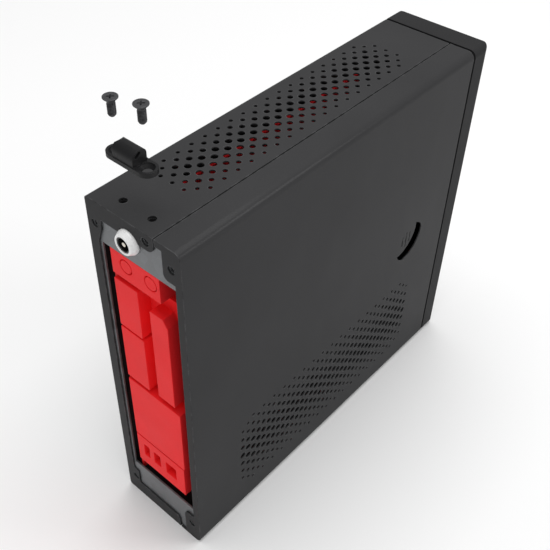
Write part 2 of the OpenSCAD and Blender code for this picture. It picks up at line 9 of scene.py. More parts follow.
import logging
import math
from dataclasses import dataclass, field
from enum import Enum
from typing import Iterable, Sequence

import bmesh
import bpy
from mathutils import Matrix, Vector


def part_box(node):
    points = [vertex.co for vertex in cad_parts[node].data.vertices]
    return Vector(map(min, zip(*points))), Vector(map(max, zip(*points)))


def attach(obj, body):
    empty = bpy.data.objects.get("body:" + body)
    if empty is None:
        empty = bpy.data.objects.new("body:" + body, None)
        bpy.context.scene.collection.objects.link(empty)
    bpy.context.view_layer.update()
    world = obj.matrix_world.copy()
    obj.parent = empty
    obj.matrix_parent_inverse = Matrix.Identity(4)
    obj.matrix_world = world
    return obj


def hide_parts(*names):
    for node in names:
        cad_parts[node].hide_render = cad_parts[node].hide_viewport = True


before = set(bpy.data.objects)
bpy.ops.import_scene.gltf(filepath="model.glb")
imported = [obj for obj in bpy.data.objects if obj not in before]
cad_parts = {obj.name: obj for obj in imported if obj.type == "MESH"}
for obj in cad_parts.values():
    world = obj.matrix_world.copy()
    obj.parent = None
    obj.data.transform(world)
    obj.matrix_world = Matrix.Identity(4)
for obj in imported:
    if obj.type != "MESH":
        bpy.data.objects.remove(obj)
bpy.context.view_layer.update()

LOG = logging.getLogger("nas_enclosure")
MM = 0.001

Colour = tuple[float, float, float]
Point = tuple[float, float, float]
Socket = bpy.types.NodeSocket


class Body(Enum):
    """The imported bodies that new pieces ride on."""

    SCREW_A = "screw_a"
    SCREW_B = "screw_b"


class Slot(Enum):
    """Names of the record's material slots for new pieces."""

    DARK_SCREW = "dark_screw"


def srgb(red: float, green: float, blue: float) -> Colour:
    """Turns a display colour into a linear one.

    Args:
        red: Red from 0 to 255.
        green: Green from 0 to 255.
        blue: Blue from 0 to 255.

    Returns:
        The three linear values.
    """

    def linear(value: float) -> float:
        """Decodes one display value."""
        part = value / 255
        return part / 12.92 if part <= 0.04045 else ((part + 0.055) / 1.055) ** 2.4

    return linear(red), linear(green), linear(blue)


# ---------------------------------------------------------------- shader building


class Wiring:
    """A node tree under construction, with short calls that add and join its nodes."""

    def __init__(self, tree: bpy.types.NodeTree) -> None:
        """Keeps the tree that the calls add to."""
        self.tree = tree

    def add(self, kind: str, feeds: dict | None = None, **settings: object) -> bpy.types.Node:
        """Adds one node.

        Args:
            kind: The node's type name.
            feeds: Values or sockets for its inputs, by name or number.
            settings: Attributes of the node itself.

        Returns:
            The new node.
        """
        node = self.tree.nodes.new(kind)
        for name, value in settings.items():
            setattr(node, name, value)
        for key, value in (feeds or {}).items():
            if isinstance(value, Socket):
                self.tree.links.new(value, node.inputs[key])
            else:
                node.inputs[key].default_value = value
        return node

    def calc(self, operation: str, *values: float | Socket, clamp: bool = False) -> Socket:
        """Adds a Math node.

        Args:
            operation: The node's operation.
            values: Its inputs in order.
            clamp: True to hold the result between 0 and 1.

        Returns:
            The result.
        """
        node = self.add("ShaderNodeMath", dict(enumerate(values)), operation=operation)
        node.use_clamp = clamp
        return node.outputs[0]

    def between(self, factor: float | Socket, first: object, second: object) -> Socket:
        """Mixes two colours.

        Args:
            factor: 0 for the first, 1 for the second.
            first: A colour or socket.
            second: A colour or socket.

        Returns:
            The mixed colour.
        """
        values = [v if isinstance(v, Socket) else (*v, 1) for v in (first, second)]
        feeds = {0: factor, 6: values[0], 7: values[1]}
        return self.add("ShaderNodeMix", feeds, data_type="RGBA").outputs[2]

    def spread(self, value: Socket, low: float, high: float, to_low: float | Socket = 0.0,
               to_high: float | Socket = 1.0) -> Socket:
        """Maps a range of values onto another, held inside it.

        Args:
            value: The value to map.
            low: Where the range starts.
            high: Where it ends.
            to_low: What its start becomes.
            to_high: What its end becomes.

        Returns:
            The mapped value.
        """
        feeds = {0: value, 1: low, 2: high, 3: to_low, 4: to_high}
        return self.add("ShaderNodeMapRange", feeds).outputs[0]

    def place(self) -> Socket:
        """Gives the place on the piece, in metres."""
        return self.add("ShaderNodeTexCoord").outputs["Object"]

    def noise(self, size: float | Socket, detail: float = 2.0, at: Socket | None = None) -> Socket:
        """Adds a noise pattern.

        Args:
            size: Length of one wave of it.
            detail: How many finer layers it holds.
            at: Place to read it at, or the place on the piece.

        Returns:
            The noise, from 0 to 1.
        """
        scale = self.calc("DIVIDE", 1.0, size) if isinstance(size, Socket) else 1 / size
        feeds = {"Vector": at or self.place(), "Scale": scale, "Detail": detail}
        return self.add("ShaderNodeTexNoise", feeds).outputs[0]


class Effects:
    """Effects that several finishes share, each one a node group that is built once."""

    made: dict[str, bpy.types.NodeTree] = {}

    @classmethod
    def group(cls, name: str, inputs: dict[str, float], outputs: Sequence[str]) -> Wiring | None:
        """Starts a node group, unless it is there already.

        Args:
            name: The group's name.
            inputs: Its input names and their usual values.
            outputs: Its output names.

        Returns:
            The wiring of a new group, or None if it was made before.
        """
        if name in cls.made:
            return None
        tree = bpy.data.node_groups.new(name, "ShaderNodeTree")
        for label, value in inputs.items():
            socket = tree.interface.new_socket(label, in_out="INPUT",
                                               socket_type="NodeSocketFloat")
            socket.default_value = value
        for label in outputs:
            tree.interface.new_socket(label, in_out="OUTPUT", socket_type="NodeSocketFloat")
        cls.made[name] = tree
        return Wiring(tree)

    @classmethod
    def put(cls, wiring: Wiring, name: str, feeds: dict) -> bpy.types.Node:
        """Places a group in a material.

        Args:
            wiring: The material's wiring.
            name: The group's name.
            feeds: Values for its inputs.

        Returns:
            The group's node.
        """
        node = wiring.add("ShaderNodeGroup", node_tree=cls.made[name])
        for key, value in feeds.items():
            node.inputs[key].default_value = value
        return node

    @classmethod
    def grain(cls, wiring: Wiring, size: float, pits: float) -> bpy.types.Node:
        """Fine texture of a sprayed or moulded skin.

        Args:
            wiring: The material's wiring.
            size: Length of one wave of the texture.
            pits: How strongly small pits show in it, from 0 to 1.

        Returns:
            A node with the outputs Height and Tone.
        """
        inside = cls.group("Skin grain", {"Size": 0.001, "Pits": 0.0}, ["Height", "Tone"])
        if inside:
            given = inside.add("NodeGroupInput").outputs
            fine = inside.noise(given["Size"], 3.0)
            broad = inside.noise(inside.calc("MULTIPLY", given["Size"], 4.5), 2.0)
            cells = inside.add("ShaderNodeTexVoronoi", {
                "Vector": inside.place(),
                "Scale": inside.calc("DIVIDE", 0.6, given["Size"]),
            }).outputs["Distance"]
            pit = inside.spread(cells, 0.05, 0.3)
            sunk = inside.calc("MULTIPLY", inside.calc("SUBTRACT", pit, 1.0), given["Pits"])
            height = inside.calc("ADD", inside.calc("MULTIPLY_ADD", broad, 0.6, fine), sunk)
            out = inside.add("NodeGroupOutput", {"Height": height})
            inside.tree.links.new(inside.spread(fine, 0.3, 0.7), out.inputs["Tone"])
        return cls.put(wiring, "Skin grain", {"Size": size, "Pits": pits})

    @classmethod
    def clouds(cls, wiring: Wiring, size: float) -> bpy.types.Node:
        """Broad unevenness from spraying, cooling and handling.

        Args:
            wiring: The material's wiring.
            size: Length of one cloud.

        Returns:
            A node with the outputs Cloud and Smear, each from 0 to 1.
        """
        inside = cls.group("Handling clouds", {"Size": 0.05}, ["Cloud", "Smear"])
        if inside:
            given = inside.add("NodeGroupInput").outputs
            cloud = inside.spread(inside.noise(given["Size"], 3.0), 0.3, 0.7)
            bent = inside.add("ShaderNodeMapping", {
                "Vector": inside.place(),
                "Rotation": (0.4, 0.9, 0.2),
                "Scale": (1.0, 5.0, 1.6),
            }).outputs[0]
            smear = inside.spread(inside.noise(given["Size"], 5.0, bent), 0.45, 0.75)
            inside.add("NodeGroupOutput", {"Cloud": cloud, "Smear": smear})
        return cls.put(wiring, "Handling clouds", {"Size": size})

    @classmethod
    def edge_wear_and_highlight_mask(cls, wiring: Wiring, radius: float, amount: float) -> Socket:
        """Finds corners to lighten, broken up by noise: rubbed-bare edges, and on the cover paint
        a painted highlight.

        Args:
            wiring: The material's wiring.
            radius: How far the lightening reaches in from a corner.
            amount: How much of the corner is lightened, from 0 to 1.

        Returns:
            The mask, 1 where the corner is lightened.
        """
        inside = cls.group("Rubbed edges and painted highlight", {"Radius": 0.0004, "Amount": 0.5}, ["Mask"])
        if inside:
            given = inside.add("NodeGroupInput").outputs
            soft = inside.add("ShaderNodeBevel", {"Radius": given["Radius"]}, samples=6)
            flat = inside.add("ShaderNodeNewGeometry").outputs["Normal"]
            agree = inside.add("ShaderNodeVectorMath", {0: soft.outputs[0], 1: flat},
                               operation="DOT_PRODUCT").outputs["Value"]
            corner = inside.spread(agree, 0.985, 0.86)
            broken = inside.spread(inside.noise(0.004, 4.0), 0.42, 0.62)
            mask = inside.calc("MULTIPLY", inside.calc("MULTIPLY", corner, broken),
                               given["Amount"], clamp=True)
            inside.add("NodeGroupOutput", {"Mask": mask})
        return cls.put(wiring, "Rubbed edges and painted highlight", {"Radius": radius, "Amount": amount}).outputs[0]

    @classmethod
    def dust(cls, wiring: Wiring, amount: float) -> Socket:
        """Finds faces that look up, where a little dust settles.

        Args:
            wiring: The material's wiring.
            amount: How much dust there is, from 0 to 1.

        Returns:
            The mask of the dust.
        """
        inside = cls.group("Settled dust", {"Amount": 0.1}, ["Mask"])
        if inside:
            given = inside.add("NodeGroupInput").outputs
            facing = inside.add("ShaderNodeNewGeometry").outputs["Normal"]
            up = inside.add("ShaderNodeSeparateXYZ", {0: facing}).outputs["Z"]
            specks = inside.spread(inside.noise(0.0009, 4.0), 0.5, 0.8, 0.25, 1.0)
            patch = inside.spread(inside.noise(0.03, 2.0), 0.3, 0.7, 0.4, 1.0)
            lying = inside.calc("MULTIPLY", inside.spread(up, 0.3, 1.0),
                                inside.calc("MULTIPLY", specks, patch))
            inside.add("NodeGroupOutput", {
                "Mask": inside.calc("MULTIPLY", lying, given["Amount"], clamp=True)})
        return cls.put(wiring, "Settled dust", {"Amount": amount}).outputs[0]


@dataclass
class Surface:
    """What a finish varies over the surface: colour, roughness, metal and height."""

    colour: Socket
    roughness: Socket
    height: Socket
    metallic: Socket | float = 0.0


# ---------------------------------------------------------------- finishes


@dataclass(frozen=True)
class Finish:
    """A surface finish with the grain and unevenness that the real one shows, rubbed-bare edges on
    some finishes, and a painted highlight along the edges of the cover paint.
    """

    name: str
    colour: Colour
    roughness: float = 0.5
    metallic: float = 0.0
    specular: float = 0.5
    ior: float = 1.5
    coat: float = 0.0
    coat_roughness: float = 0.2
    transmission: float = 0.0
    grain_size: float = 0.0008
    grain_depth: float = 0.00002
    pits: float = 0.0
    cloud_size: float = 0.04
    tint: float = 0.08
    gloss_swing: float = 0.06
    edge_radius: float = 0.0003
    edge_wear_and_highlight: float = 0.0
    edge_wear_and_highlight_colour: Colour = (0.3, 0.3, 0.3)
    dust: float = 0.0

    def pattern(self, wiring: Wiring, surface: Surface) -> Surface:
        """Adds what only this kind of finish shows; a plain finish adds nothing."""
        return surface

    def material(self) -> bpy.types.Material:
        """Builds the material, or gives the one that was built before."""
        known = bpy.data.materials.get(self.name)
        if known:
            return known
        material = bpy.data.materials.new(self.name)
        material.use_nodes = True
        material.node_tree.nodes.clear()
        wiring = Wiring(material.node_tree)
        grain = Effects.grain(wiring, self.grain_size, self.pits)
        clouds = Effects.clouds(wiring, self.cloud_size)
        darker = tuple(c * (1 - self.tint) for c in self.colour)
        lighter = tuple(min(c * (1 + self.tint), 1.0) for c in self.colour)
        colour = wiring.between(clouds.outputs["Cloud"], darker, lighter)
        speck = tuple(c * (1 - 1.2 * self.tint) for c in self.colour)
        colour = wiring.between(
            wiring.calc("MULTIPLY", grain.outputs["Tone"], 0.35), colour, speck)
        roughness = wiring.spread(clouds.outputs["Smear"], 0.0, 1.0,
                                  self.roughness, self.roughness - self.gloss_swing)
        roughness = wiring.calc(
            "MULTIPLY_ADD", wiring.calc("SUBTRACT", grain.outputs["Tone"], 0.5),
            self.gloss_swing, roughness, clamp=True)
        surface = Surface(colour, roughness, grain.outputs["Height"], self.metallic)
        surface = self.pattern(wiring, surface)
        # Edges are mixed toward a lighter colour: rubbed-bare edges on the metal finishes, and on
        # the cover paint a painted highlight standing in for light caught by the rounded edges.
        if self.edge_wear_and_highlight:
            worn_and_lit_edges = Effects.edge_wear_and_highlight_mask(wiring, self.edge_radius * 1.6, self.edge_wear_and_highlight)
            surface.colour = wiring.between(worn_and_lit_edges, surface.colour, self.edge_wear_and_highlight_colour)
        if self.dust:
            lying = Effects.dust(wiring, self.dust)
            surface.colour = wiring.between(lying, surface.colour, (0.42, 0.41, 0.39))
            surface.roughness = wiring.spread(lying, 0.0, 1.0, surface.roughness, 0.9)
        rounded = wiring.add("ShaderNodeBevel", {"Radius": self.edge_radius}, samples=6)
        bump = wiring.add("ShaderNodeBump", {
            "Strength": 1.0, "Distance": self.grain_depth,
            "Height": surface.height, "Normal": rounded.outputs[0]})
        shader = wiring.add("ShaderNodeBsdfPrincipled", {
            "Base Color": surface.colour, "Roughness": surface.roughness,
            "Metallic": surface.metallic, "Normal": bump.outputs[0],
            "Specular IOR Level": self.specular, "IOR": self.ior, "Coat Weight": self.coat,
            "Coat Roughness": self.coat_roughness, "Transmission Weight": self.transmission})
        wiring.add("ShaderNodeOutputMaterial", {"Surface": shader.outputs[0]})
        material.diffuse_color = (*self.colour, 1)
        return material


@dataclass(frozen=True)
class Galvanised(Finish):
    """Hot-dipped zinc: flat crystals a few millimetres wide, each of its own tone."""

    crystal: float = 0.0045

    def pattern(self, wiring: Wiring, surface: Surface) -> Surface:
        """Adds the crystals to the colour, the gloss and the height.

        Args:
            wiring: The material's wiring.
            surface: The surface so far.

        Returns:
            The surface with its crystals.
        """
        warp = wiring.add("ShaderNodeTexNoise", {
            "Vector": wiring.place(), "Scale": 420.0, "Detail": 2.0})
        at = wiring.add("ShaderNodeVectorMath", {0: warp.outputs["Color"], 3: 0.0012},
                        operation="SCALE").outputs[0]
        at = wiring.add("ShaderNodeVectorMath", {0: at, 1: wiring.place()},
                        operation="ADD").outputs[0]
        cells = wiring.add("ShaderNodeTexVoronoi", {
            "Vector": at, "Scale": 1 / self.crystal, "Randomness": 1.0})
        tone = wiring.add("ShaderNodeSeparateColor", {0: cells.outputs["Color"]}).outputs[0]
        pale = tuple(min(c * 1.25, 1.0) for c in self.colour)
        dull = tuple(c * 0.72 for c in self.colour)
        crystals = wiring.between(tone, dull, pale)
        surface.colour = wiring.between(0.6, surface.colour, crystals)
        surface.roughness = wiring.calc(
            "MULTIPLY_ADD", wiring.calc("SUBTRACT", tone, 0.5), 0.16, surface.roughness,
            clamp=True)
        surface.height = wiring.calc("MULTIPLY_ADD", tone, 0.8, surface.height)
        return surface


@dataclass(frozen=True)
class Brushed(Finish):
    """Metal with fine straight marks from rolling or turning."""

    along: Point = (1.0, 0.03, 1.0)
    mark: float = 0.0004

    def pattern(self, wiring: Wiring, surface: Surface) -> Surface:
        """Adds the marks to the gloss and the height.

        Args:
            wiring: The material's wiring.
            surface: The surface so far.

        Returns:
            The surface with its marks.
        """
        drawn = wiring.add("ShaderNodeMapping", {
            "Vector": wiring.place(), "Scale": self.along}).outputs[0]
        marks = wiring.noise(self.mark, 4.0, drawn)
        surface.height = wiring.calc("MULTIPLY_ADD", marks, 1.5, surface.height)
        surface.roughness = wiring.calc(
            "MULTIPLY_ADD", wiring.calc("SUBTRACT", marks, 0.5), 0.22, surface.roughness,
            clamp=True)
        return surface


class Finishes:
    """The finishes of this enclosure."""

    # The cover paint's lightened edges are partly rubbing and mostly a painted highlight, standing
    # in for light caught by the rounded sheet edges.
    PAINT = Finish("cover_powder_coat", srgb(57, 57, 58), roughness=0.45, specular=0.4, ior=1.08,
                   coat=0.1, coat_roughness=0.16,
                   grain_size=0.0007, grain_depth=0.00002, tint=0.07, cloud_size=0.06,
                   gloss_swing=0.05, edge_radius=0.0005, edge_wear_and_highlight=0.5,
                   edge_wear_and_highlight_colour=srgb(116, 116, 118), dust=0.02)
    ZINC = Galvanised("galvanised_zinc", srgb(118, 120, 122), roughness=0.48, metallic=0.7,
                      grain_size=0.0005, grain_depth=0.000012, tint=0.06, cloud_size=0.02,
                      edge_radius=0.0002, edge_wear_and_highlight=0.2, edge_wear_and_highlight_colour=srgb(176, 178, 181))
    BEZEL = Finish("bezel_moulding", srgb(47, 47, 48), roughness=0.48, specular=0.4,
                   ior=1.08, coat=0.05, grain_size=0.0005,
                   grain_depth=0.00003, pits=0.5, tint=0.05, edge_radius=0.0004,
                   dust=0.04)
    HOOK = Finish("hook_moulding", srgb(31, 31, 32), roughness=0.4, ior=1.25,
                  grain_size=0.0006,
                  grain_depth=0.00002, pits=0.2, tint=0.08, cloud_size=0.01,
                  edge_radius=0.0004)
    BLACK = Finish("black_moulding", srgb(26, 26, 27), roughness=0.42, grain_size=0.0006,
                   grain_depth=0.00002, pits=0.3, tint=0.1, cloud_size=0.01)
    NUT = Finish("white_nut", srgb(252, 252, 252), roughness=0.3, grain_size=0.0008,
                 grain_depth=0.00001, tint=0.03, cloud_size=0.004, edge_radius=0.0004,
                 coat=0.3)
    SCREW = Brushed("black_oxide", srgb(72, 72, 74), roughness=0.42, metallic=0.6,
                    grain_size=0.0003, grain_depth=0.00001, tint=0.2, cloud_size=0.002,
                    edge_radius=0.0001, edge_wear_and_highlight=0.5, edge_wear_and_highlight_colour=srgb(140, 140, 142),
                    along=(1.0, 1.0, 0.2))
    BRIGHT = Brushed("zinc_plate", srgb(196, 198, 202), roughness=0.3, metallic=1.0,
                     grain_size=0.0003, grain_depth=0.000008, tint=0.1, cloud_size=0.002,
                     edge_radius=0.0001, along=(1.0, 1.0, 0.4))
    PIN = Brushed("plated_pin", srgb(214, 208, 196), roughness=0.22, metallic=1.0,
                  grain_size=0.0003, grain_depth=0.000006, cloud_size=0.002,
                  edge_radius=0.0002, along=(1.0, 0.1, 1.0))
    BRASS = Brushed("turned_brass", srgb(204, 170, 98), roughness=0.32, metallic=1.0,
                    grain_size=0.0004, grain_depth=0.00001, tint=0.12, cloud_size=0.003,
                    along=(0.2, 1.0, 1.0))
    RED_BOARD = Finish("red_lacquer", srgb(236, 38, 42), roughness=0.5, specular=0.3,
                       ior=1.3, grain_size=0.0009,
                       grain_depth=0.000012, tint=0.06, cloud_size=0.03)
    RED_PORT = Finish("red_moulding", srgb(252, 40, 44), roughness=0.52, specular=0.3,
                      ior=1.3, grain_size=0.0007,
                      grain_depth=0.000015, tint=0.05, cloud_size=0.02, pits=0.2,
                      edge_radius=0.0004)
    SMALL_BOARD = Finish("green_mask", srgb(22, 84, 48), roughness=0.34, coat=0.4,
                         grain_size=0.0009, grain_depth=0.000012, tint=0.15,
                         cloud_size=0.006)
    HEATSINK = Brushed("extruded_fins", srgb(120, 123, 128), roughness=0.4, metallic=0.9,
                       grain_size=0.0004, grain_depth=0.00001, along=(1.0, 0.04, 1.0))
    # The drives' near-black case is a plausible black drive, darkened further as painted shade so
    # the interior behind the side holes reads black.
    DRIVE_DARK_AS_SHADE = Brushed("drive_case_dark_as_shade", srgb(40, 41, 43), roughness=0.45, metallic=0.6,
                    grain_size=0.0005, grain_depth=0.00001, tint=0.08,
                    along=(1.0, 1.0, 0.04), edge_wear_and_highlight=0.2, edge_wear_and_highlight_colour=srgb(80, 82, 85))
    BUTTON = Brushed("button_metal", srgb(168, 170, 174), roughness=0.32, metallic=1.0,
                     grain_size=0.0004, grain_depth=0.00001, along=(0.06, 1.0, 1.0))
    LEAD = Finish("lead_sleeve", srgb(24, 24, 25), roughness=0.5, grain_size=0.0006,
                  grain_depth=0.00001, tint=0.1, cloud_size=0.01)
    CLEAR = Finish("light_pipe_clear", srgb(226, 236, 244), roughness=0.12,
                   transmission=0.9, grain_size=0.001, grain_depth=0.000004, tint=0.02)
    FLOOR = Finish("studio_floor", srgb(246, 246, 246), roughness=0.85, specular=0.1,
                   grain_size=0.004, grain_depth=0.00002, tint=0.004, cloud_size=0.5,
                   gloss_swing=0.02, edge_radius=0.001)


# ---------------------------------------------------------------- mesh building


def mesh_from(name: str, points: Iterable[Sequence[float]],
              faces: Iterable[Sequence[int]]) -> bpy.types.Mesh:
    """Makes a mesh with its faces turned outwards and its near-equal points joined.

    Args:
        name: The mesh's name.
        points: Corner places.
        faces: Corner numbers of each face.

    Returns:
        The mesh.
    """
    mesh = bpy.data.meshes.new(name)
    mesh.from_pydata([tuple(p) for p in points], [], [tuple(f) for f in faces])
    tidy = bmesh.new()
    tidy.from_mesh(mesh)
    bmesh.ops.remove_doubles(tidy, verts=tidy.verts, dist=1e-7)
    bmesh.ops.recalc_face_normals(tidy, faces=tidy.faces)
    tidy.to_mesh(mesh)
    tidy.free()
    return mesh


def lathe(name: str, profile: Sequence[tuple[float, float]], steps: int = 64) -> bpy.types.Mesh:
    """Turns a profile about Z.

    Args:
        name: The mesh's name.
        profile: Radius and height of each point, from one end of the axis to the other.
        steps: Sides of the turned shape.

    Returns:
        The closed mesh.
    """
    points: list[Point] = []
    for radius, height in profile:
        for step in range(steps):
            angle = math.tau * step / steps
            points.append((radius * math.cos(angle), radius * math.sin(angle), height))
    faces = []
    for row in range(len(profile) - 1):
        for step in range(steps):
            after = (step + 1) % steps
            faces.append((row * steps + step, row * steps + after,
                          (row + 1) * steps + after, (row + 1) * steps + step))
    for row in (0, len(profile) - 1):
        if profile[row][0] > 1e-7:
            faces.append([row * steps + step for step in range(steps)])
    return mesh_from(name, points, faces)


def joined(name: str, meshes: Sequence[bpy.types.Mesh],
           places: Sequence[Matrix] | None = None) -> bpy.types.Mesh:
    """Joins meshes into one, each at its own place.

    Args:
        name: The mesh's name.
        meshes: The meshes.
        places: A matrix for each mesh, or None to leave them.

    Returns:
        The joined mesh.
    """
    whole = bmesh.new()
    for number, mesh in enumerate(meshes):
        copy = mesh.copy()
        if places:
            copy.transform(places[number])
        whole.from_mesh(copy)
        bpy.data.meshes.remove(copy)
    result = bpy.data.meshes.new(name)
    whole.to_mesh(result)
    whole.free()
    return result


def cut(mesh: bpy.types.Mesh, tool: bpy.types.Mesh) -> bpy.types.Mesh:
    """Cuts one closed mesh out of another.

    Args:
        mesh: The mesh to keep.
        tool: The mesh to remove from it.

    Returns:
        The cut mesh.
    """
    kept = bpy.data.objects.new("kept", mesh)
    gone = bpy.data.objects.new("gone", tool)
    for piece in (kept, gone):
        bpy.context.scene.collection.objects.link(piece)
    boolean = kept.modifiers.new("cut", "BOOLEAN")
    boolean.object = gone
    boolean.solver = "EXACT"
    graph = bpy.context.evaluated_depsgraph_get()
    result = bpy.data.meshes.new_from_object(kept.evaluated_get(graph))
    for piece in (kept, gone):
        bpy.data.objects.remove(piece)
    return result


def shade(mesh: bpy.types.Mesh, angle: float = 32.0) -> bpy.types.Mesh:
    """Shades a mesh smoothly, except over edges sharper than an angle in degrees."""
    shaded = bmesh.new()
    shaded.from_mesh(mesh)
    for face in shaded.faces:
        face.smooth = True
    limit = math.radians(angle)
    for edge in shaded.edges:
        edge.smooth = not edge.is_manifold or edge.calc_face_angle(0.0) < limit
    shaded.to_mesh(mesh)
    shaded.free()
    return mesh


@dataclass
class Assembly:
    """Pieces of the enclosure that are built and dressed together."""

    def dress(self, node: str, finish: Finish, rounding: float = 0.0) -> bpy.types.Object:
        """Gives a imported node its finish.

        Args:
            node: The node's name.
            finish: Its finish.
            rounding: Width of the softened corners, or 0 to leave the mesh as it is.

        Returns:
            The node's object.
        """
        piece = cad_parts[node]
        piece.data.materials.clear()
        piece.data.materials.append(finish.material())
        if rounding:
            weld = piece.modifiers.new("weld", "WELD")
            weld.merge_threshold = 1e-6
            bevel = piece.modifiers.new("soft_corners", "BEVEL")
            bevel.width = rounding
            bevel.segments = 2
            bevel.limit_method = "ANGLE"
            bevel.angle_limit = math.radians(40)
            bevel.harden_normals = True
            bevel.miter_outer = "MITER_ARC"
        LOG.info("dressed %s with %s", node, finish.name)
        return piece

    def stand_in(self, name: str, mesh: bpy.types.Mesh, finish: Finish, body: Body,
                 slot: Slot, nodes: Sequence[str] = ()) -> bpy.types.Object:
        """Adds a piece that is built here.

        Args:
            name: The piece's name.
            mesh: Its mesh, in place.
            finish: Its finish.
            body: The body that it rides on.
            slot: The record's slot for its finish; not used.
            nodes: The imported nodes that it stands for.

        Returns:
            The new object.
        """
        piece = bpy.data.objects.new(name, mesh)
        bpy.context.scene.collection.objects.link(piece)
        mesh.materials.append(finish.material())
        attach(piece, body.value)
        if nodes:
            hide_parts(*nodes)
        LOG.info("built %s for %s", name, ", ".join(nodes) or "detail")
        return piece


@dataclass
class Screw:
    """A machine screw, its axis on Z and the top of its head at Z = 0."""

    head_radius: float
    rim: float
    cone: float
    shank_radius: float
    length: float
    pitch: float = 0.6 * MM
    recess: float = 1.7 * MM

    def head_profile(self) -> list[tuple[float, float]]:
        """Gives the turned outline from the tip to the top of the head."""
        root = self.shank_radius - 0.55 * self.pitch
        under = -self.rim - self.cone
        ease = 0.12 * self.rim + 0.04 * MM
        profile = [(0.0, -self.length), (root - 0.4 * MM, -self.length),
                   (root, 0.5 * MM - self.length), (root, under - 0.6 * MM),
                   (self.shank_radius, under - 0.1 * MM), (self.shank_radius, under)]
        profile += [(self.head_radius - ease / 2, -self.rim - ease / 2),
                    (self.head_radius, -self.rim + ease / 2),
                    (self.head_radius, -ease), (self.head_radius - ease, 0.0), (0.0, 0.0)]
        return profile

    def recess_tools(self) -> list[bpy.types.Mesh]:
        """Makes the two tapered bars whose cross is cut into the head."""
        wing = self.recess
        half = 0.221 * wing
        depth = min(self.rim + self.cone * 0.7, 1.7 * MM)
        above = (0.3 * MM, wing * 1.06, half * 1.08)
        below = (-depth, wing * 0.45, half * 0.6)
        bars = []
        for turn in (math.radians(45), math.radians(135)):
            points = []
            for z, reach, side in (above, below):
                points += [(x * reach, y * side, z)
                           for x, y in ((-1, -1), (1, -1), (1, 1), (-1, 1))]
            faces = [(0, 1, 2, 3), (4, 5, 6, 7), (0, 1, 5, 4), (1, 2, 6, 5), (2, 3, 7, 6),
                     (3, 0, 4, 7)]
            bar = mesh_from("bar", points, faces)
            bar.transform(Matrix.Rotation(turn, 4, "Z"))
            bars.append(bar)
        return bars

    def thread(self) -> bpy.types.Mesh:
        """Makes the helical ridge, fading at both ends."""
        top = -self.rim - self.cone - 0.3 * MM
        low = 0.4 * MM - self.length
        turns = (top - low) / self.pitch
        around = 28
        root = self.shank_radius - 0.75 * self.pitch
        rings = int(turns * around)
        points: list[Point] = []
        for ring in range(rings + 1):
            part = ring / rings
            angle = math.tau * turns * part
            z = low + (top - low) * part
            fade = min(part * turns, (1 - part) * turns, 1.0)
            crest = root + (self.shank_radius - root) * (0.25 + 0.75 * fade)
            for radius, up in ((root, -0.48), (crest, -0.08), (crest, 0.08), (root, 0.48)):
                points.append((radius * math.cos(angle), radius * math.sin(angle),
                               z + up * self.pitch))
        faces: list[Sequence[int]] = [(0, 1, 2, 3)]
        for ring in range(rings):
            for side in range(4):
                after = (side + 1) % 4
                faces.append((ring * 4 + side, ring * 4 + after,
                              (ring + 1) * 4 + after, (ring + 1) * 4 + side))
        last = rings * 4
        faces.append((last + 3, last + 2, last + 1, last))
        return mesh_from("thread", points, faces)

    def mesh(self, name: str) -> bpy.types.Mesh:
        """Makes the whole screw.

        Args:
            name: The mesh's name.

        Returns:
            The mesh.
        """
        blank = lathe("blank", self.head_profile())
        for bar in self.recess_tools():
            blank = cut(blank, bar)
        return shade(joined(name, [blank, self.thread()]))


@dataclass(frozen=True)
class Lamp:
    """A large soft lamp that points at the middle of the case."""

    name: str
    at: Point
    size: float
    power: float


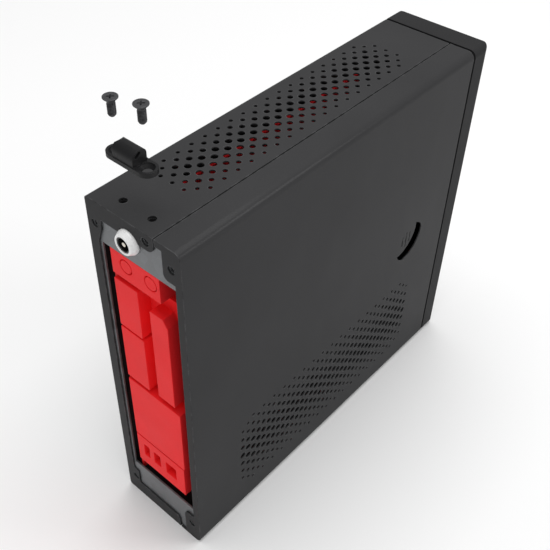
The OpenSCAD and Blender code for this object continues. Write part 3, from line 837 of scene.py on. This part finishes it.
@dataclass
class Studio:
    """The camera, the lights and the pale floor."""

    eye: Point = (-0.20579, 0.26681, 0.42033)
    azimuth: float = -47.39
    elevation: float = -42.398
    roll: float = -0.141
    lens: float = 55.76
    shift: tuple[float, float] = (0.0536, -0.0252)
    room: float = 0.45
    aim: Point = (0, 0, 0.1)
    lamps: tuple[Lamp, ...] = (Lamp("key", (-1.2, -0.95, 0.95), 0.5, 4.0),
                               Lamp("top", (0.0, -0.2, 1.9), 1.8, 28.0),
                               Lamp("fill", (-1.5, 1.2, 1.4), 1.2, 1.5))
    floor_reach: float = 6.0
    floor_sides: int = 24
    floor_drop: float = 0.2 * MM

    def camera(self) -> None:
        """Makes the camera."""
        data = bpy.data.cameras.new("camera")
        data.lens, data.sensor_width = self.lens, 36.0
        data.shift_x, data.shift_y = self.shift
        data.clip_start, data.clip_end = 0.01, 50.0
        camera = bpy.data.objects.new("camera", data)
        az, el = math.radians(self.azimuth), math.radians(self.elevation)
        ahead = Vector((math.cos(el) * math.cos(az), math.cos(el) * math.sin(az), math.sin(el)))
        turn = ahead.to_track_quat("-Z", "Y").to_matrix().to_4x4()
        turn = turn @ Matrix.Rotation(math.radians(self.roll), 4, "Z")
        camera.matrix_world = Matrix.Translation(self.eye) @ turn
        bpy.context.scene.collection.objects.link(camera)
        bpy.context.scene.camera = camera

    def lights(self) -> None:
        """Makes the even room light and the lamps."""
        world = bpy.data.worlds.new("room")
        world.use_nodes = True
        wiring = Wiring(world.node_tree)
        world.node_tree.nodes.clear()
        sky = wiring.add("ShaderNodeBackground", {0: (1, 1, 1, 1), 1: self.room})
        wiring.add("ShaderNodeOutputWorld", {0: sky.outputs[0]})
        bpy.context.scene.world = world
        for lamp in self.lamps:
            data = bpy.data.lights.new(lamp.name, "AREA")
            data.energy, data.size = lamp.power, lamp.size
            light = bpy.data.objects.new(lamp.name, data)
            ahead = Vector(self.aim) - Vector(lamp.at)
            light.matrix_world = (Matrix.Translation(lamp.at)
                                  @ ahead.to_track_quat("-Z", "Y").to_matrix().to_4x4())
            bpy.context.scene.collection.objects.link(light)

    def floor(self) -> None:
        """Makes the floor, which isn't part of the object."""
        reach, sides = self.floor_reach, self.floor_sides
        points = [(reach * (2 * i / sides - 1), reach * (2 * j / sides - 1), -self.floor_drop)
                  for j in range(sides + 1) for i in range(sides + 1)]
        row = sides + 1
        faces = [(j * row + i, j * row + i + 1, (j + 1) * row + i + 1, (j + 1) * row + i)
                 for j in range(sides) for i in range(sides)]
        floor = bpy.data.objects.new("floor", mesh_from("floor", points, faces))
        floor.data.materials.append(Finishes.FLOOR.material())
        bpy.context.scene.collection.objects.link(floor)

    def build(self) -> None:
        """Sets the whole studio up."""
        self.camera()
        self.lights()
        self.floor()
        bpy.context.scene.view_settings.view_transform = "Standard"


@dataclass
class Case(Assembly):
    """The covers, the tray, the panels and the front bezel with its controls."""

    def build(self) -> None:
        """Dresses the sheet metal and the bezel."""
        for node in ("left_cover", "right_cover"):
            self.dress(node, Finishes.PAINT)
        # The board tray takes the dark cover paint so the interior seen through the rear opening
        # reads black: a dark sheet that stands in as painted shade for the unlit interior.
        self.dress("board_tray", Finishes.PAINT)
        for node in ("rear_panel", "front_wall"):
            self.dress(node, Finishes.ZINC)
        self.dress("front_bezel", Finishes.BEZEL)
        self.dress("power_button", Finishes.BUTTON, 0.3 * MM)
        self.dress("button_board", Finishes.SMALL_BOARD)
        for node in ("power_light_pipe", "drive_light_pipe"):
            self.dress(node, Finishes.CLEAR, 0.2 * MM)


@dataclass
class Hook(Assembly):
    """The cable hook and its two lifted screws."""

    screw: Screw = field(default_factory=lambda: Screw(
        head_radius=3.1 * MM, rim=0.5 * MM, cone=1.35 * MM, shank_radius=1.75 * MM,
        length=8.4 * MM))

    def build(self) -> None:
        """Dresses the hook and builds the screws."""
        self.dress("cable_hook", Finishes.HOOK)
        for node, body in (("hook_screw_a", Body.SCREW_A), ("hook_screw_b", Body.SCREW_B)):
            low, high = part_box(node)
            at = Vector(((low.x + high.x) / 2, (low.y + high.y) / 2, high.z))
            mesh = self.screw.mesh(node + "_threaded")
            mesh.transform(Matrix.Translation(at))
            self.stand_in(node + "_threaded", mesh, Finishes.SCREW, body, Slot.DARK_SCREW,
                          [node])


@dataclass
class PowerInlet(Assembly):
    """The round power inlet in the rear panel."""

    def build(self) -> None:
        """Dresses the socket, its pin and its nut."""
        self.dress("jack_body", Finishes.BLACK)
        self.dress("jack_pin", Finishes.PIN)
        self.dress("jack_nut", Finishes.NUT, 0.35 * MM)


@dataclass
class Board(Assembly):
    """The board with its ports and its fastenings."""

    ports: tuple[str, ...] = ("ps2_ports", "serial_port", "vga_port", "parallel_port",
                              "lan_usb_ports", "audio_ports")

    def build(self) -> None:
        """Dresses the board and what stands on it."""
        self.dress("mainboard", Finishes.RED_BOARD)
        for node in self.ports:
            self.dress(node, Finishes.RED_PORT, 0.3 * MM)
        self.dress("board_standoffs", Finishes.BRASS)
        self.dress("board_screws", Finishes.BRIGHT)
        self.dress("memory_slot", Finishes.BLACK)
        self.dress("memory_module", Finishes.SMALL_BOARD)


@dataclass
class Cooling(Assembly):
    """The processor's heatsink and fan."""

    def build(self) -> None:
        """Dresses the fins, the fan's frame and its rotor."""
        self.dress("processor_heatsink", Finishes.HEATSINK)
        self.dress("fan_frame", Finishes.BLACK)
        self.dress("fan_rotor", Finishes.BLACK)


@dataclass
class Storage(Assembly):
    """The two drives and the bracket that carries them."""

    def build(self) -> None:
        """Dresses the drives, the bracket and their screws."""
        # The dark drive finish doubles as painted shade behind the side holes.
        for node in ("upper_drive", "lower_drive"):
            self.dress(node, Finishes.DRIVE_DARK_AS_SHADE, 0.3 * MM)
        self.dress("drive_bracket", Finishes.ZINC)
        for node in ("bracket_screws", "drive_screws"):
            self.dress(node, Finishes.BRIGHT)


@dataclass
class Leads(Assembly):
    """The two leads inside the case."""

    def build(self) -> None:
        """Dresses the leads and rounds their facets off."""
        for node in ("power_lead", "button_lead"):
            lead = self.dress(node, Finishes.LEAD)
            lead.modifiers.new("weld", "WELD").merge_threshold = 1e-6
            rounding = lead.modifiers.new("round", "SUBSURF")
            rounding.levels = rounding.render_levels = 1


def main() -> None:
    """Builds the studio and every part of the enclosure."""
    logging.basicConfig(level=logging.INFO, format="%(name)s: %(message)s")
    for part in (Studio(), Case(), Hook(), PowerInlet(), Board(), Cooling(), Storage(),
                 Leads()):
        part.build()


if __name__ == "__main__":
    main()
